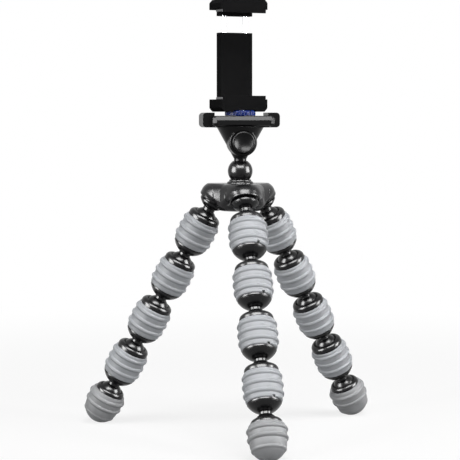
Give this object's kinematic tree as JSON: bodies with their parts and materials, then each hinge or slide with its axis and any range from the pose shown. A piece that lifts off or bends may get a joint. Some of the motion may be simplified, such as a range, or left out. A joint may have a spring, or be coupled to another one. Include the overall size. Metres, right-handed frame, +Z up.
{
  "type": "flexible leg tripod",
  "caption": "Tabletop tripod with bendable legs of ball-jointed ribbed links, a ball head with a quick-release plate and a spring clamp for a phone.",
  "frame": {"origin": "on the ground under the hub's axis", "axes": "+Z up along the hub's axis; the front leg points to -Y and the clamp's jaws face the same way"},
  "size_m": [0.209, 0.1843, 0.3001],
  "materials": {
    "gloss_black": "polished moulded plastic",
    "satin_black": "satin moulded plastic",
    "sleeve_rubber": "smooth soft rubber",
    "boot_rubber": "smooth soft rubber",
    "pad_rubber": "grooved soft rubber",
    "blue_plastic": "moulded plastic",
    "steel": "bright zinc plating"
  },
  "bodies": {
    "hub": {"hub_shell": "gloss_black", "hub_studs": "gloss_black", "hub_cover": "satin_black", "hub_screws": "steel"},
    "front_link_1": {"front_barrel_1": "gloss_black", "front_stud_1": "gloss_black", "front_sleeve_1": "sleeve_rubber"},
    "front_link_2": {"front_barrel_2": "gloss_black", "front_stud_2": "gloss_black", "front_sleeve_2": "sleeve_rubber"},
    "front_link_3": {"front_barrel_3": "gloss_black", "front_stud_3": "gloss_black", "front_sleeve_3": "sleeve_rubber"},
    "front_link_4": {"front_barrel_4": "gloss_black", "front_stud_4": "gloss_black", "front_sleeve_4": "sleeve_rubber"},
    "front_foot": {"front_foot_cup": "gloss_black", "front_foot_boot": "boot_rubber"},
    "right_link_1": {"right_barrel_1": "gloss_black", "right_stud_1": "gloss_black", "right_sleeve_1": "sleeve_rubber"},
    "right_link_2": {"right_barrel_2": "gloss_black", "right_stud_2": "gloss_black", "right_sleeve_2": "sleeve_rubber"},
    "right_link_3": {"right_barrel_3": "gloss_black", "right_stud_3": "gloss_black", "right_sleeve_3": "sleeve_rubber"},
    "right_link_4": {"right_barrel_4": "gloss_black", "right_stud_4": "gloss_black", "right_sleeve_4": "sleeve_rubber"},
    "right_foot": {"right_foot_cup": "gloss_black", "right_foot_boot": "boot_rubber"},
    "left_link_1": {"left_barrel_1": "gloss_black", "left_stud_1": "gloss_black", "left_sleeve_1": "sleeve_rubber"},
    "left_link_2": {"left_barrel_2": "gloss_black", "left_stud_2": "gloss_black", "left_sleeve_2": "sleeve_rubber"},
    "left_link_3": {"left_barrel_3": "gloss_black", "left_stud_3": "gloss_black", "left_sleeve_3": "sleeve_rubber"},
    "left_link_4": {"left_barrel_4": "gloss_black", "left_stud_4": "gloss_black", "left_sleeve_4": "sleeve_rubber"},
    "left_foot": {"left_foot_cup": "gloss_black", "left_foot_boot": "boot_rubber"},
    "swivel": {"tension_bolt": "steel"},
    "head": {"head_ball": "gloss_black", "head_stem": "satin_black", "button_spring": "steel"},
    "button": {"release_button": "satin_black"},
    "plate": {"release_plate": "satin_black"},
    "screw": {"camera_screw": "steel"},
    "ring": {"lock_ring": "blue_plastic"},
    "clamp": {"clamp_frame": "satin_black", "lower_pad": "pad_rubber", "clamp_springs": "steel"},
    "jaw": {"upper_jaw": "satin_black", "upper_pad": "pad_rubber", "guide_rods": "steel"}
  },
  "joints": [
    {"name": "front_ball_1", "type": "hinge", "parent": "hub", "child": "front_link_1", "pos_m": [0, -0.0275, 0.14793], "axis": [1, 0, 0], "range_deg": [-25, 25]},
    {"name": "front_ball_2", "type": "hinge", "parent": "front_link_1", "child": "front_link_2", "pos_m": [0, -0.04575, 0.11632], "axis": [0, 0.866, -0.5], "range_deg": [-25, 25]},
    {"name": "front_ball_3", "type": "hinge", "parent": "front_link_2", "child": "front_link_3", "pos_m": [0, -0.064, 0.08471], "axis": [1, 0, 0], "range_deg": [-25, 25]},
    {"name": "front_ball_4", "type": "hinge", "parent": "front_link_3", "child": "front_link_4", "pos_m": [0, -0.08225, 0.0531], "axis": [0, 0.866, -0.5], "range_deg": [-25, 25]},
    {"name": "front_ball_5", "type": "hinge", "parent": "front_link_4", "child": "front_foot", "pos_m": [0, -0.1005, 0.02149], "axis": [1, 0, 0], "range_deg": [-25, 25]},
    {"name": "right_ball_1", "type": "hinge", "parent": "hub", "child": "right_link_1", "pos_m": [0.02382, 0.01375, 0.14793], "axis": [-0.5, 0.866, 0], "range_deg": [-25, 25]},
    {"name": "right_ball_2", "type": "hinge", "parent": "right_link_1", "child": "right_link_2", "pos_m": [0.03962, 0.02287, 0.11632], "axis": [-0.75, -0.433, -0.5], "range_deg": [-25, 25]},
    {"name": "right_ball_3", "type": "hinge", "parent": "right_link_2", "child": "right_link_3", "pos_m": [0.05543, 0.032, 0.08471], "axis": [-0.5, 0.866, 0], "range_deg": [-25, 25]},
    {"name": "right_ball_4", "type": "hinge", "parent": "right_link_3", "child": "right_link_4", "pos_m": [0.07123, 0.04113, 0.0531], "axis": [-0.75, -0.433, -0.5], "range_deg": [-25, 25]},
    {"name": "right_ball_5", "type": "hinge", "parent": "right_link_4", "child": "right_foot", "pos_m": [0.08704, 0.05025, 0.02149], "axis": [-0.5, 0.866, 0], "range_deg": [-25, 25]},
    {"name": "left_ball_1", "type": "hinge", "parent": "hub", "child": "left_link_1", "pos_m": [-0.02382, 0.01375, 0.14793], "axis": [-0.5, -0.866, 0], "range_deg": [-25, 25]},
    {"name": "left_ball_2", "type": "hinge", "parent": "left_link_1", "child": "left_link_2", "pos_m": [-0.03962, 0.02287, 0.11632], "axis": [0.75, -0.433, -0.5], "range_deg": [-25, 25]},
    {"name": "left_ball_3", "type": "hinge", "parent": "left_link_2", "child": "left_link_3", "pos_m": [-0.05543, 0.032, 0.08471], "axis": [-0.5, -0.866, 0], "range_deg": [-25, 25]},
    {"name": "left_ball_4", "type": "hinge", "parent": "left_link_3", "child": "left_link_4", "pos_m": [-0.07123, 0.04113, 0.0531], "axis": [0.75, -0.433, -0.5], "range_deg": [-25, 25]},
    {"name": "left_ball_5", "type": "hinge", "parent": "left_link_4", "child": "left_foot", "pos_m": [-0.08704, 0.05025, 0.02149], "axis": [-0.5, -0.866, 0], "range_deg": [-25, 25]},
    {"name": "head_pan", "type": "hinge", "parent": "hub", "child": "swivel", "pos_m": [0, 0, 0.18193], "axis": [0, 0, 1], "continuous": true},
    {"name": "head_tilt", "type": "hinge", "parent": "swivel", "child": "head", "pos_m": [0, 0, 0.18193], "axis": [1, 0, 0], "range_deg": [-30, 30]},
    {"name": "button_push", "type": "slide", "parent": "head", "child": "button", "axis": [0, 1, 0], "range_m": [0, 0.002], "stiffness_N_per_m": 500, "springref_m": -0.003, "deforming": ["button_spring"]},
    {"name": "plate_slide", "type": "slide", "parent": "head", "child": "plate", "axis": [0, -1, 0], "range_m": [0, 0.04]},
    {"name": "screw_turn", "type": "hinge", "parent": "plate", "child": "screw", "pos_m": [0, 0, 0.21273], "axis": [0, 0, 1], "continuous": true},
    {"name": "ring_turn", "type": "hinge", "parent": "plate", "child": "ring", "pos_m": [0, 0, 0.21273], "axis": [0, 0, 1], "continuous": true},
    {"name": "clamp_turn", "type": "hinge", "parent": "plate", "child": "clamp", "pos_m": [0, 0, 0.21273], "axis": [0, 0, 1], "continuous": true},
    {"name": "jaw_slide", "type": "slide", "parent": "clamp", "child": "jaw", "axis": [0, 0, 1], "range_m": [0, 0.025], "stiffness_N_per_m": 220, "springref_m": -0.02, "deforming": ["clamp_springs"]}
  ]
}
